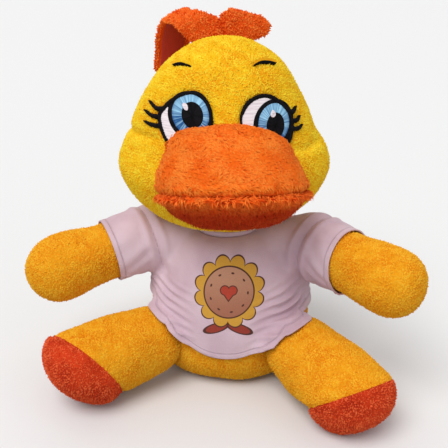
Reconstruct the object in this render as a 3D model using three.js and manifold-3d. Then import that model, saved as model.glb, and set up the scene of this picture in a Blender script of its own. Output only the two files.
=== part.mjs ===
// Plush chick sitting in a T-shirt. Millimetres, +Z up, the toy looks along -Y.
// Its own left is +X. The origin is the middle of the flat seat under the torso.
import * as THREE from 'three';
import { mergeVertices } from 'three/addons/utils/BufferGeometryUtils.js';
import Module from 'manifold-3d';

const wasm = await Module();
wasm.setup();

// Cloth and clearances
const PLUSH = 2.2;
const KNIT = 1.2;
const THREAD = 0.8;
const LINING = 1.0;
const GAP = 0.3;

// Torso: half widths at heights above the floor, oval from front to back
const TORSO = {
  profile: [[0, -0.5], [34, 1], [48, 14], [49.5, 34], [46, 56], [38, 76], [26, 88.5], [0, 92]],
  front: 0.82,
  back: 0.8,
  yaw: -7.3,
};

// Head: the same, with heights from its widest line; the cheeks are low
const HEAD = {
  profile: [[0, -43], [30, -41], [51, -27], [60, -8], [55, 13], [47, 32], [34, 51], [17, 62], [0, 65]],
  front: 0.84,
  back: 0.84,
  offset: -3.3,
  height: 138,
  yaw: 4,
};

const NECK = { radius: 17, offset: -1.5, height: 97 };

// Bill: two pads that meet at the mouth seam, tipped up in front; each leans to one side as it rises
const BILL = { aside: 2, forward: 36, below: 13, tilt: 15, front: 0.9, back: 0.6 };
const UPPER_BILL = {
  profile: [[0, 0.3], [31, 0.3], [40, 2.5], [42.5, 8], [38.5, 19.5], [32.5, 31], [20, 38], [0, 39]],
  lean: -0.1,
};
const LOWER_BILL = {
  profile: [[0, -21], [19, -20], [33, -13.5], [39.5, -5], [37, -0.6], [0, -0.5]],
  lean: -0.1,
};

const EYE = { apart: 43.5, above: 27, halfWidth: 14.5, halfHeight: 13.5, sides: 32 };

// Crest lobes: points along the middle of each lobe and its half width there, in the head's frame
const CREST = { plush: 3.1, behind: 1.7, sides: 8, steps: 15, root: [0, 17, 58], back: 12, forward: 12 };
const LEFT_LOBE = {
  path: [[4.6, 17, 61], [9.5, 18, 65.5], [18, 18.5, 67], [27.5, 19, 67.5]],
  halfWidth: [7, 10.5, 7.2, 0],
  across: [-0.25, 0, 1],
};
const RIGHT_LOBE = {
  path: [
    [-4.6, 17, 58],
    [-10.5, 17, 65.5],
    [-17.5, 17.5, 70.5],
    [-23, 20.5, 72],
    [-27, 25, 71],
    [-27.8, 30, 62],
    [-28.8, 33, 50],
    [-33, 34, 37],
  ],
  halfWidth: [8, 10, 9.2, 7, 8.5, 11, 11, 0],
  across: [2, 0, 1],
};

// Arms: a ball root in a hollow of the torso, a narrow wrist in the sleeve and a fuller hand
const ARM = {
  out: 50,
  forward: 2,
  height: 82,
  length: 56,
  root: 18,
  waist: 17.6,
  waistAt: 0.4,
  hand: 20,
  handAt: 0.9,
  raise: 25,
  lower: 6,
};
const ARM_SWING = { left: 40, right: 31 };
const ARM_DROOP = { left: 4, right: 11 };
const SLEEVE = { cuff: 25, armhole: 13 };

// Legs: a ball root, a thigh that widens to the foot, and a domed sole
const LEG = {
  out: 46,
  forward: 31,
  height: 26,
  length: 41,
  root: 21.5,
  footWide: 25,
  footTall: 27,
  dome: 19,
  raise: 18,
  lower: 25,
};
const LEG_SPLAY = { left: 35, right: -57 };
const FOOT_DROOP = { left: 55, right: 42 };

// Shirt: its hem, the folds round its sides and the ribbed band at the neck
const SHIRT = { hem: 21, fold: 1.6, folds: 5, foldHeight: 44, foldReach: 17, slant: 0.35, sideways: 4 };
const NECKBAND = { radius: 19.5, thick: 1.9, sides: 28 };

// Openings for stuffing, the bluntness of rounded ends, and the depth pressed flat on the floor
const OPENING = 9;
const BLUNT = 0.85;
const PRESSED = 0.5;

// Cutting tools: the room swept by a limb, and bars and boxes that pass right through
const ROOM = { steps: 2, reach: 30, sides: 14 };
const BAR_SIDES = 20;
const THROUGH = 40;
const FAR = 300;
const WELD = 1e-4;

// Facets: fine outside, coarse inside a cover and on what fills it
const LIMB_OUTSIDE = { sides: 14, steps: 5, ballSteps: 3, domeSteps: 4 };
const LIMB_INSIDE = { sides: 10, steps: 4, ballSteps: 2, domeSteps: 3 };
const TORSO_OUTSIDE = [10, 24];
const TORSO_INSIDE = [6, 12];
const HEAD_OUTSIDE = [13, 24];
const HEAD_INSIDE = [7, 12];
const BILL_OUTSIDE = [7, 18];
const BILL_INSIDE = [4, 10];
const SHIRT_OUTSIDE = [15, 28];
const BALL = { across: 14, high: 9, turn: Math.PI / 14 };
const HOLLOW = { across: 14, high: 8, turn: 0 };

const UP = new THREE.Vector3(0, 0, 1);
const FORWARD = new THREE.Vector3(0, -1, 0);
const rad = THREE.MathUtils.degToRad;
const vec = (p) => new THREE.Vector3(...p);

/** Closed skin over rings of points, drawn to one point at each end. */
function skin(start, rings, end) {
  const sides = rings[0].length;
  const points = [start, ...rings.flat(), end];
  const last = points.length - 1;
  const index = [];
  for (let side = 0; side < sides; side += 1) {
    const next = (side + 1) % sides;
    index.push(0, 1 + next, 1 + side);
    for (let ring = 0; ring < rings.length - 1; ring += 1) {
      const low = 1 + ring * sides;
      const high = low + sides;
      index.push(low + side, low + next, high + next, low + side, high + next, high + side);
    }
    const top = last - sides;
    index.push(top + side, top + next, last);
  }
  const geometry = new THREE.BufferGeometry().setFromPoints(points);
  geometry.setIndex(index);
  return geometry;
}

/** The same skin moved out (or in) along its normals. */
function grown(geometry, distance) {
  const copy = geometry.clone();
  copy.computeVertexNormals();
  const position = copy.attributes.position;
  const normal = copy.attributes.normal;
  for (let i = 0; i < position.count; i += 1) {
    position.setXYZ(
      i,
      position.getX(i) + normal.getX(i) * distance,
      position.getY(i) + normal.getY(i) * distance,
      position.getZ(i) + normal.getZ(i) * distance,
    );
  }
  copy.deleteAttribute('normal');
  return copy;
}

/** Solid of a closed geometry. */
function solid(geometry) {
  let bare = geometry.clone();
  bare.deleteAttribute('normal');
  bare.deleteAttribute('uv');
  bare = mergeVertices(bare, WELD);
  return new wasm.Manifold(new wasm.Mesh({
    numProp: 3,
    vertProperties: new Float32Array(bare.attributes.position.array),
    triVerts: new Uint32Array(bare.index.array),
  }));
}

/** The solid moved by a three.js matrix. */
function moved(shape, matrix) {
  return shape.transform(matrix.elements);
}

/** The main body of a solid, without slivers that a cut leaves. */
function largest(shape) {
  return shape.decompose().reduce((best, next) => (next.volume() > best.volume() ? next : best));
}

/** Smooth curve through half widths and heights, level where it meets the axis. */
function smoothProfile(points) {
  const mirrored = ([r, z]) => new THREE.Vector2(-r, z);
  const inner = points.map(([r, z]) => new THREE.Vector2(r, z));
  const curve = new THREE.SplineCurve([mirrored(points[1]), ...inner, mirrored(points.at(-2))]);
  const spans = points.length + 1;
  return (t) => curve.getPoint((1 + t * (points.length - 1)) / spans);
}

/** A profile carried round an oval whose front and back are their own shares of the width. */
function roundBody({ profile, front, back, lean = 0 }, [rings, sides], swell = () => 0) {
  const at = smoothProfile(profile);
  const turn = (t) => {
    const { x: r, y: z } = at(t);
    return Array.from({ length: sides }, (_, side) => {
      const angle = (side / sides) * 2 * Math.PI;
      const deep = Math.sin(angle) < 0 ? front : back;
      const wide = r + swell(angle, z);
      return new THREE.Vector3(wide * Math.cos(angle) + lean * z, wide * deep * Math.sin(angle), z);
    });
  };
  const between = Array.from({ length: rings }, (_, ring) => turn((ring + 1) / (rings + 1)));
  const [first, last] = [at(0).y, at(1).y].map((z) => new THREE.Vector3(lean * z, 0, z));
  return skin(first, between, last);
}

/** Oval ring square to a direction; its wide way lies level. */
function ovalRing(centre, direction, wide, tall, sides) {
  const across = UP.clone().cross(direction).normalize();
  const over = direction.clone().cross(across);
  return Array.from({ length: sides }, (_, side) => {
    const angle = (side / sides) * 2 * Math.PI;
    return centre.clone()
      .addScaledVector(across, wide * Math.cos(angle))
      .addScaledVector(over, tall * Math.sin(angle));
  });
}

/** Limb from a ball root to a domed end; station(t) gives the middle, heading and radii on the way. */
function limb(station, dome, { sides, steps, ballSteps, domeSteps }) {
  const rings = [];
  const root = station(0);
  for (let i = 1; i < ballSteps; i += 1) {
    const angle = (i / ballSteps) * (Math.PI / 2);
    const centre = root.centre.clone().addScaledVector(root.heading, -root.wide * Math.cos(angle));
    const radius = root.wide * Math.sin(angle);
    rings.push(ovalRing(centre, root.heading, radius, radius, sides));
  }
  for (let i = 0; i <= steps; i += 1) {
    const { centre, heading, wide, tall } = station(i / steps);
    rings.push(ovalRing(centre, heading, wide, tall, sides));
  }
  const end = station(1);
  for (let i = 1; i < domeSteps; i += 1) {
    const angle = (i / domeSteps) * (Math.PI / 2);
    const share = Math.cos(angle) ** BLUNT;
    const centre = end.centre.clone().addScaledVector(end.heading, dome * Math.sin(angle));
    rings.push(ovalRing(centre, end.heading, end.wide * share, end.tall * share, sides));
  }
  const tail = root.centre.clone().addScaledVector(root.heading, -root.wide);
  return skin(tail, rings, end.centre.clone().addScaledVector(end.heading, dome));
}

/** Ball whose corners lie on the radius; they face the flats of a hollow of the same kind. */
function ball(centre, radius, { across, high, turn } = BALL) {
  const geometry = new THREE.SphereGeometry(radius, across, high, turn);
  geometry.translate(centre.x, centre.y, centre.z);
  return solid(geometry);
}

/** Ball that cuts a hollow: its flats lie on the radius, so that a ball of that radius turns in it. */
function hollow(centre, radius) {
  const flats = Math.cos(Math.PI / HOLLOW.across) * Math.cos(Math.PI / (2 * HOLLOW.high));
  return ball(centre, radius / flats, HOLLOW);
}

/** Everything on the far side of a plane, as a large box. */
function beyond(point, direction, shift = 0) {
  const box = new THREE.BoxGeometry(2 * FAR, 2 * FAR, FAR);
  box.translate(0, 0, FAR / 2 + shift);
  box.applyQuaternion(new THREE.Quaternion().setFromUnitVectors(UP, direction));
  box.translate(point.x, point.y, point.z);
  return solid(box);
}

/** Round bar from a point along a direction. */
function bar(point, direction, radius, from, to, sides = BAR_SIDES) {
  const rod = new THREE.CylinderGeometry(radius, radius, to - from, sides);
  rod.translate(0, (from + to) / 2, 0);
  rod.applyQuaternion(new THREE.Quaternion().setFromUnitVectors(new THREE.Vector3(0, 1, 0), direction));
  rod.translate(point.x, point.y, point.z);
  return solid(rod);
}

function material(color, roughness) {
  return new THREE.MeshStandardMaterial({ color, roughness, metalness: 0 });
}

const FINISH = {
  yellowPlush: material(0xf4bd18, 0.95),
  orangePlush: material(0xee6a1b, 0.95),
  crestPlush: material(0xec5f1f, 0.95),
  crestLining: material(0xa4230f, 0.7),
  solePlush: material(0xd6461c, 0.95),
  knit: material(0xeadfe2, 0.9),
  filling: material(0xf4f2ea, 1),
  embroidery: material(0x6fa6d6, 0.5),
};

function mesh(name, shape, finish) {
  const { vertProperties, triVerts } = shape.getMesh();
  const geometry = new THREE.BufferGeometry();
  geometry.setAttribute('position', new THREE.Float32BufferAttribute(vertProperties, 3));
  geometry.setIndex(new THREE.Uint32BufferAttribute(triVerts, 1));
  const piece = new THREE.Mesh(geometry, finish);
  piece.name = name;
  return piece;
}

function group(...children) {
  const holder = new THREE.Group();
  if (children.length) holder.add(...children);
  return holder;
}

const SIDE = { left: 1, right: -1 };

/** Arm in its own frame: it points along -Y from its shoulder. */
function makeArm(side) {
  const station = (t) => {
    const narrowed = THREE.MathUtils.lerp(ARM.root, ARM.waist, Math.min(t / ARM.waistAt, 1));
    const widened = THREE.MathUtils.smoothstep(t, ARM.waistAt, ARM.handAt);
    const radius = THREE.MathUtils.lerp(narrowed, ARM.hand, widened);
    return {
      centre: FORWARD.clone().multiplyScalar(ARM.length * t),
      heading: FORWARD,
      wide: radius,
      tall: radius,
    };
  };
  const form = limb(station, ARM.hand, LIMB_OUTSIDE);
  const inside = limb(station, ARM.hand, LIMB_INSIDE);
  const place = new THREE.Object3D();
  const swing = rad(ARM_SWING[side]);
  const droop = rad(ARM_DROOP[side]);
  const heading = new THREE.Vector3(
    SIDE[side] * Math.cos(swing) * Math.cos(droop),
    -Math.sin(swing) * Math.cos(droop),
    -Math.sin(droop),
  );
  place.position.set(SIDE[side] * ARM.out, -ARM.forward, ARM.height);
  place.quaternion.setFromUnitVectors(FORWARD, heading);
  place.updateMatrix();

  const outer = solid(form);
  const origin = new THREE.Vector3();
  const openRoot = bar(origin, FORWARD, OPENING, -THROUGH, 0);
  const cover = outer.subtract(solid(grown(inside, -PLUSH))).subtract(openRoot);
  const filling = solid(grown(inside, -PLUSH - GAP));
  const sleeve = solid(grown(form, GAP + KNIT))
    .subtract(solid(grown(form, GAP)))
    .subtract(beyond(FORWARD.clone().multiplyScalar(SLEEVE.cuff), FORWARD))
    .subtract(bar(origin, FORWARD, SLEEVE.armhole, -THROUGH, 0));
  const axis = new THREE.Vector3().crossVectors(heading, UP).normalize();
  return {
    pieces: [
      mesh(`${side}_arm_cover`, cover, FINISH.yellowPlush),
      mesh(`${side}_arm_filling`, filling, FINISH.filling),
      mesh(`${side}_sleeve`, sleeve, FINISH.knit),
    ],
    radius: ARM.root + GAP + KNIT + GAP,
    heading,
    place,
    axis,
    range: [-ARM.lower, ARM.raise],
  };
}

/** Leg in its own frame: it points along -Y from its hip and bends down to the foot. */
function makeLeg(side) {
  const droop = rad(FOOT_DROOP[side]);
  const out = new THREE.Vector3(0, -Math.cos(droop), -Math.sin(droop));
  const reachDown = Math.hypot(LEG.footTall * Math.cos(droop), LEG.dome * Math.sin(droop));
  const floor = -LEG.height;
  const ankle = new THREE.Vector3(0, -LEG.length, floor + reachDown - PRESSED);
  const station = (t) => ({
    centre: ankle.clone().multiplyScalar(t),
    heading: FORWARD.clone().applyAxisAngle(new THREE.Vector3(1, 0, 0), droop * t),
    wide: THREE.MathUtils.lerp(LEG.root, LEG.footWide, t),
    tall: THREE.MathUtils.lerp(LEG.root, LEG.footTall, t),
  });
  const form = limb(station, LEG.dome, LIMB_OUTSIDE);
  const inside = limb(station, LEG.dome, LIMB_INSIDE);
  const place = new THREE.Object3D();
  place.position.set(SIDE[side] * LEG.out, -LEG.forward, LEG.height);
  place.rotation.z = rad(LEG_SPLAY[side] - TORSO.yaw);
  place.updateMatrix();

  const ground = beyond(new THREE.Vector3(0, 0, floor), UP.clone().negate());
  const wall = solid(form).subtract(solid(grown(inside, -PLUSH))).subtract(ground);
  const openRoot = bar(new THREE.Vector3(), FORWARD, OPENING, -THROUGH, 0);
  const cover = wall.subtract(beyond(ankle, out)).subtract(openRoot);
  const sole = wall.subtract(beyond(ankle, out.clone().negate(), -GAP));
  const filling = solid(grown(inside, -PLUSH - GAP)).subtract(
    beyond(new THREE.Vector3(0, 0, floor + PLUSH), UP.clone().negate()),
  );
  const heading = new THREE.Vector3(0, -1, 0).applyQuaternion(place.quaternion);
  return {
    pieces: [
      mesh(`${side}_leg_cover`, cover, FINISH.yellowPlush),
      mesh(`${side}_leg_filling`, filling, FINISH.filling),
      mesh(`${side}_sole`, sole, FINISH.solePlush),
    ],
    radius: LEG.root + GAP,
    heading,
    place,
    axis: new THREE.Vector3().crossVectors(heading, UP).normalize(),
    range: [-LEG.lower, LEG.raise],
  };
}

/** The room that a limb's root needs over its range, in the torso's frame. */
function sweep({ radius, heading, place, axis, range }) {
  const { steps, reach, sides } = ROOM;
  const wide = radius / Math.cos(Math.PI / sides);
  let room = hollow(place.position, radius);
  for (let i = 0; i <= steps; i += 1) {
    const angle = rad(THREE.MathUtils.lerp(...range, i / steps));
    const direction = heading.clone().applyAxisAngle(axis, angle);
    room = room.add(bar(place.position, direction, wide, 0, reach, sides));
  }
  return room;
}

const limbs = [makeArm('left'), makeArm('right'), makeLeg('left'), makeLeg('right')];
const rooms = limbs.map(sweep);
const neckAt = new THREE.Vector3(NECK.offset, 0, NECK.height);
const clear = (shape) => rooms.reduce((rest, room) => rest.subtract(room), shape);

/** Torso pelt and filling, with hollows where the limbs and the neck are sewn in. */
function makeTorso() {
  const form = roundBody(TORSO, TORSO_OUTSIDE);
  const inside = roundBody(TORSO, TORSO_INSIDE);
  const ground = beyond(new THREE.Vector3(), UP.clone().negate());
  const neckHollow = hollow(neckAt, NECK.radius + GAP);
  const cover = clear(solid(form).subtract(solid(grown(inside, -PLUSH))).subtract(ground).subtract(neckHollow));
  const filling = clear(solid(grown(inside, -PLUSH - GAP)).subtract(neckHollow))
    .subtract(beyond(new THREE.Vector3(0, 0, PLUSH), UP.clone().negate()));
  return [
    mesh('torso_cover', cover, FINISH.yellowPlush),
    mesh('torso_filling', filling, FINISH.filling),
  ];
}

/** Soft folds that run across the belly from each side: a fading row of waves. */
function shirtFold(angle, z) {
  const side = Math.cos(angle) ** SHIRT.sideways;
  const fade = Math.exp(-(((z - SHIRT.foldHeight) / SHIRT.foldReach) ** 2));
  const slant = SHIRT.slant * Math.sin(angle);
  const wave = Math.sin((z / SHIRT.foldReach + slant) * SHIRT.folds);
  return SHIRT.fold * side * fade * (1 + wave) / 2;
}

/** T-shirt body: one tube of knit over the torso, open at hem, armholes and neck. */
function makeShirt() {
  const outside = (extra) => solid(grown(roundBody(TORSO, SHIRT_OUTSIDE, shirtFold), extra));
  const inside = solid(grown(roundBody(TORSO, TORSO_OUTSIDE), GAP));
  const hem = beyond(new THREE.Vector3(0, 0, SHIRT.hem), UP.clone().negate());
  const round = (radius) => bar(neckAt, UP, radius, -THROUGH, THROUGH, NECKBAND.sides);
  const upper = beyond(new THREE.Vector3(0, 0, SHIRT.foldHeight), UP);
  const body = clear(outside(GAP + KNIT).subtract(inside))
    .subtract(hem)
    .subtract(round(NECKBAND.radius).intersect(upper));
  const band = clear(outside(GAP + NECKBAND.thick).subtract(inside))
    .intersect(round(NECKBAND.radius - GAP).intersect(upper))
    .subtract(round(NECKBAND.radius - NECKBAND.thick));
  return [
    mesh('shirt_body', body, FINISH.knit),
    mesh('shirt_neckband', band, FINISH.knit),
  ];
}

const headPlace = new THREE.Object3D();
headPlace.position.set(HEAD.offset, 0, HEAD.height);
headPlace.rotation.z = rad(HEAD.yaw);
headPlace.updateMatrix();
const neckInHead = headPlace.worldToLocal(neckAt.clone().applyAxisAngle(UP, rad(TORSO.yaw)));

const headForm = roundBody(HEAD, HEAD_OUTSIDE);
const headInside = roundBody(HEAD, HEAD_INSIDE);
const billTurn = new THREE.Matrix4().makeTranslation(BILL.aside, -BILL.forward, -BILL.below)
  .multiply(new THREE.Matrix4().makeRotationX(rad(-BILL.tilt)));
const billForm = (pad, facets) => roundBody({ ...pad, front: BILL.front, back: BILL.back }, facets)
  .applyMatrix4(billTurn);

/** Head pelt and filling, open at the neck. */
function makeHead() {
  const socket = hollow(neckInHead, NECK.radius + GAP);
  const cover = solid(headForm).subtract(solid(grown(headInside, -PLUSH))).subtract(socket);
  const filling = solid(grown(headInside, -PLUSH - GAP)).subtract(socket);
  return [
    mesh('head_cover', cover, FINISH.yellowPlush),
    mesh('head_filling', filling, FINISH.filling),
  ];
}

/** One pad of the bill, sewn to the face: a pelt that is open behind, and its filling. */
function makeBillPad(name, pad) {
  const inside = billForm(pad, BILL_INSIDE);
  const face = solid(grown(headForm, GAP));
  const cover = solid(billForm(pad, BILL_OUTSIDE)).subtract(solid(grown(inside, -PLUSH))).subtract(face);
  const filling = solid(grown(inside, -PLUSH - GAP)).subtract(face);
  return [
    mesh(`${name}_bill_cover`, cover, FINISH.orangePlush),
    mesh(`${name}_bill_filling`, filling, FINISH.filling),
  ];
}

/** Eye embroidery: a thin oval lying on the face, hidden at its foot by the bill. */
function makeEye(side) {
  const disc = new THREE.CylinderGeometry(1, 1, FAR, EYE.sides);
  disc.scale(EYE.halfWidth, 1, EYE.halfHeight);
  disc.translate(SIDE[side] * EYE.apart / 2, -FAR / 2, EYE.above);
  const shape = solid(grown(headForm, GAP + THREAD))
    .subtract(solid(grown(headForm, GAP)))
    .intersect(solid(disc))
    .subtract(solid(grown(billForm(UPPER_BILL, BILL_OUTSIDE), GAP)));
  return mesh(`${side}_eye_embroidery`, shape, FINISH.embroidery);
}

/** The face as a lobe meets it while it flops back and forward about its seam. */
const crestFaces = [-CREST.back, 0, CREST.forward].map((degrees) => {
  const seam = vec(CREST.root);
  const turn = new THREE.Matrix4().makeTranslation(seam)
    .multiply(new THREE.Matrix4().makeRotationX(rad(degrees)))
    .multiply(new THREE.Matrix4().makeTranslation(seam.clone().negate()));
  return moved(solid(grown(headForm, GAP)), turn);
});

/** Crest lobe: a leaf of two layers along a curve, whose cross lines all run one way, so it folds clean. */
function makeLobe(side, lobe) {
  const curve = new THREE.CatmullRomCurve3(lobe.path.map(vec));
  const spans = lobe.halfWidth.length - 1;
  const widthAt = (t) => {
    const i = Math.min(Math.floor(t * spans), spans - 1);
    const local = t * spans - i;
    const [a, b] = [lobe.halfWidth[i], lobe.halfWidth[i + 1]];
    return b === 0 ? a * Math.sqrt(1 - local ** 2) : THREE.MathUtils.lerp(a, b, local);
  };
  const across = vec(lobe.across).normalize();
  const layer = (low, high) => {
    const rings = [];
    for (let i = 0; i < CREST.steps; i += 1) {
      const t = i / CREST.steps;
      const outward = curve.getTangent(t).cross(across).normalize().multiplyScalar(SIDE[side]);
      const width = widthAt(t);
      const middle = curve.getPoint(t).addScaledVector(outward, (low + high) / 2);
      rings.push(Array.from({ length: CREST.sides }, (_, n) => {
        const angle = SIDE[side] * (n / CREST.sides) * 2 * Math.PI;
        return middle.clone()
          .addScaledVector(across, width * Math.cos(angle))
          .addScaledVector(outward, ((high - low) / 2) * Math.sin(angle));
      }));
    }
    const tail = rings[0].reduce((sum, p) => sum.add(p), new THREE.Vector3()).divideScalar(CREST.sides);
    return skin(tail, rings, curve.getPoint(1));
  };
  const split = LINING - CREST.behind;
  const plush = layer(split + GAP, split + GAP + CREST.plush);
  const lining = solid(layer(-CREST.behind, split)).subtract(solid(grown(plush, GAP / 2)));
  const offHead = (shape) => largest(crestFaces.reduce((rest, face) => rest.subtract(face), shape));
  return [
    mesh(`${side}_crest_plush`, offHead(solid(plush)), FINISH.crestPlush),
    mesh(`${side}_crest_lining`, offHead(lining), FINISH.crestLining),
  ];
}

const limbGroups = limbs.map(({ pieces, place }) => {
  const holder = group(...pieces);
  holder.position.copy(place.position);
  holder.quaternion.copy(place.quaternion);
  return holder;
});

const torso = group(...makeTorso(), ...makeShirt(), ...limbGroups);
torso.add(mesh('neck_plug', ball(neckAt, NECK.radius), FINISH.filling));
torso.rotation.z = rad(TORSO.yaw);

const head = group(
  ...makeHead(),
  ...makeBillPad('upper', UPPER_BILL),
  ...makeBillPad('lower', LOWER_BILL),
  makeEye('left'),
  makeEye('right'),
  ...makeLobe('left', LEFT_LOBE),
  ...makeLobe('right', RIGHT_LOBE),
);
head.position.copy(headPlace.position);
head.rotation.z = headPlace.rotation.z;

const chick = group(torso, head);
chick.name = 'plush_chick';

export default chick;
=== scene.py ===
"""Looks of a plush chick in a T-shirt: pile, knit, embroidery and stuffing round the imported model."""
import math

import bpy
import numpy as np
from mathutils import Matrix, Vector


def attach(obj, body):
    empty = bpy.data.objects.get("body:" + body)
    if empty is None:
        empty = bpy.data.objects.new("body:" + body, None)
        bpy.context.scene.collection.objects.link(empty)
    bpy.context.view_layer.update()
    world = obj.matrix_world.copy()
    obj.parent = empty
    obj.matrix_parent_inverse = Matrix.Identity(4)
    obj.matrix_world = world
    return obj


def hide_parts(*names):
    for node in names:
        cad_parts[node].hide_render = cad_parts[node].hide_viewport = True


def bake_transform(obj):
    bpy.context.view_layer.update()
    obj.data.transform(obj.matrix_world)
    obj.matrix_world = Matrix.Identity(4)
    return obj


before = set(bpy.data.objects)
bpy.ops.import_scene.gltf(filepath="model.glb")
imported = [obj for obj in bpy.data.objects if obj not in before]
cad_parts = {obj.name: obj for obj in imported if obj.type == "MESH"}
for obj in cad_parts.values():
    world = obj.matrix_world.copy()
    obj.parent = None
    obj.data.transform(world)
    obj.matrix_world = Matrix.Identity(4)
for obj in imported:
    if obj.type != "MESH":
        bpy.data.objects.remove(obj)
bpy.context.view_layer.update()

# Sizes in millimetres, as in the model. The toy looks along -Y, and its own left is +X.
MM = 0.001
TURN = 2 * np.pi
UP = np.array([0.0, 0.0, 1.0])
SIDE = {"left": 1, "right": -1}

TORSO = {
    "profile": [(0, -0.5), (34, 1), (48, 14), (49.5, 34), (46, 56), (38, 76), (26, 88.5), (0, 92)],
    "front": 0.82,
    "back": 0.8,
}
TORSO_YAW = -7.3
HEAD = {
    "profile": [(0, -43), (30, -41), (51, -27), (60, -8), (55, 13), (47, 32), (34, 51), (17, 62), (0, 65)],
    "front": 0.84,
    "back": 0.84,
}
HEAD_YAW = 4
HEAD_AT = (-3.3, 0, 138)
NECK = {"radius": 17, "half": 12, "at": (-1.5, 0, 97)}
UPPER_BILL = {
    "profile": [(0, -0.2), (31, -0.2), (40, 2.3), (42.5, 8), (38.5, 19.5), (32.5, 30.5), (19.5, 38), (0, 39)],
    "front": 0.9,
    "back": 0.6,
    "lean": -0.12,
}
LOWER_BILL = {
    "profile": [(0, -21), (19, -20), (33, -13.5), (40, -5), (37.5, -0.4), (0, -0.4)],
    "front": 0.9,
    "back": 0.6,
    "lean": -0.04,
}
BILL_AT = (2, -36, -13)
BILL_TILT = -15

ARM = {"out": 50, "forward": 2, "height": 82, "length": 56, "root": 18, "waist": 17.6, "waist_at": 0.4,
       "hand": 20, "hand_at": 0.9}
ARM_SWING = {"left": 40, "right": 31}
ARM_DROOP = {"left": 4, "right": 11}
CUFF = 25
LEG = {"out": 46, "forward": 31, "height": 26, "length": 41, "root": 21.5, "foot_wide": 25, "foot_tall": 27,
       "dome": 19}
LEG_SPLAY = {"left": 35, "right": -57}
FOOT_DROOP = {"left": 55, "right": 42}
SOLE_SHIFT = {"left": 1.5, "right": -2}
SOLE_TURN = {"left": -5, "right": 15}
SOLE_TIP = {"left": 50, "right": 31}
SOLE_SEAM = {"depth": 1.0, "width": 1.8, "lift": 0.4, "bare": 0.3}
SOLE_THICK = 0.35
DOME = {"left": 22, "right": 19}
BLUNT = 0.85
PRESSED = 0.5

LEFT_LOBE = {
    "path": [(1, 17, 62.5), (8, 18, 66.5), (18, 18.5, 67.5), (27.5, 19, 67.5)],
    "half_width": [11, 11, 6.8, 0],
    "across": (-0.25, 0, 1),
}
RIGHT_LOBE = {
    "path": [(-4.6, 17, 58), (-10.5, 17, 66), (-17.5, 17.5, 70.5), (-23, 20.5, 72), (-27, 25, 71),
             (-27.8, 30, 62), (-28.8, 33, 50), (-33, 34, 36)],
    "half_width": [8, 11, 9.2, 7, 8.5, 11.3, 11.3, 0],
    "across": (2, 0, 1),
}
LOBE = {"lining": 1.0, "plush": 3.1, "behind": 1.7, "gap": 0.3, "rim": 3.8}

SHIRT = {"ease": 1.9, "neck": 19.5, "voxel": 0.95, "thick": 0.9, "sleeve": 25.5}
ARMHOLE = {"left": 5, "right": 0}
CUFF_SLANT = {"left": 5, "right": 0}
HEM = {"height": 24.7, "middle": 2, "rise": 20.5, "span": 36, "power": 2.3, "thigh": 34.5, "slope": 0.35,
       "side": 25.5, "left_drop": 6, "up_thigh": {"left": 9, "right": 1}, "side_reach": 4.2,
       "front_reach": 30, "ends": 56, "soft": 3}
STITCHES_UP = 3
UNSTITCHED = 20.0
DRAG = {"apart": 5.1, "slant": 0.32, "height": 1.4, "at_sides": 0.25}
GATHER = {"before": 1.3, "valley": 1.1, "after": 1.1}
PULL = {"apart": 9, "height": 0.35}
NECKBAND = {"height": 92.3, "behind": 1, "inset": 0.4, "wide": 0.8, "tall": 2.0}
WAIST = 49.5
BEND_FROM = 5
BEND = 14
HIP_BEND = (-6, 16)

EYES = {
    "right": {
        "thin": 0.72,
        "outline": [(-36.5, 27), (-33, 32.8), (-27.4, 37.2), (-18.8, 40.4), (-13.2, 38), (-10.1, 31),
                    (-10.8, 22), (-15, 13), (-25, 11), (-33.4, 17)],
        "ring": ((-20.6, 29.6), (11.6, 11.6)),
        "iris": ((-20.2, 29.8), (9.7, 9.9)),
        "pupil": ((-19.2, 29.8), (5.6, 6.4)),
        "shine": [(-24.2, 34.3), (-23.3, 35.3), (-21.8, 34.8), (-21.2, 33), (-21.7, 31.8), (-23.2, 32.2)],
        "lashes": [[(-34.8, 31.2), (-38.4, 30.9), (-41.8, 33.2)], [(-36, 27.3), (-40.6, 26.9), (-44.5, 28.3)],
                   [(-36.2, 23), (-40.8, 22.5), (-44.8, 23.2)]],
        "brow": [(-28.6, 51.7), (-24.4, 53), (-19.4, 52.5)],
    },
    "left": {
        "thin": 0.98,
        "outline": [(5.8, 26.6), (7, 32), (10.8, 36.4), (17, 38.5), (23, 37.2), (28.3, 33), (32.4, 27.6),
                    (34, 21.6), (31, 14), (20, 10), (9, 15)],
        "ring": ((23.5, 24.2), (11.6, 12.4)),
        "iris": ((23.4, 24.8), (8.8, 9.7)),
        "pupil": ((24, 23.6), (5.1, 6.4)),
        "shine": [(21.4, 28.5), (21.6, 30), (22.7, 31.3), (23.9, 30.1), (24.1, 28.6), (22.8, 27.7)],
        "lashes": [[(31.6, 29.4), (35, 28.3), (36.9, 30.7)], [(32.8, 25), (37.2, 23.9), (38.9, 25.7)],
                   [(33.2, 20.6), (38, 19.8), (40.3, 21)]],
        "brow": [(13.7, 52.9), (17.8, 53.9), (22.5, 53.3), (26.5, 52)],
    },
}


# Surfaces

def unit(vectors):
    """Each vector divided by its length."""
    return vectors / np.maximum(np.linalg.norm(vectors, axis=-1, keepdims=True), 1e-9)


def cubic(a, b, c, d, t):
    """Catmull-Rom curve from b to c: a cubic whose slope at each point is half the step across it."""
    return (2 * b + (c - a) * t + (2 * a - 5 * b + 4 * c - d) * t ** 2 + (3 * b - a - 3 * c + d) * t ** 3) / 2


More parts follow.
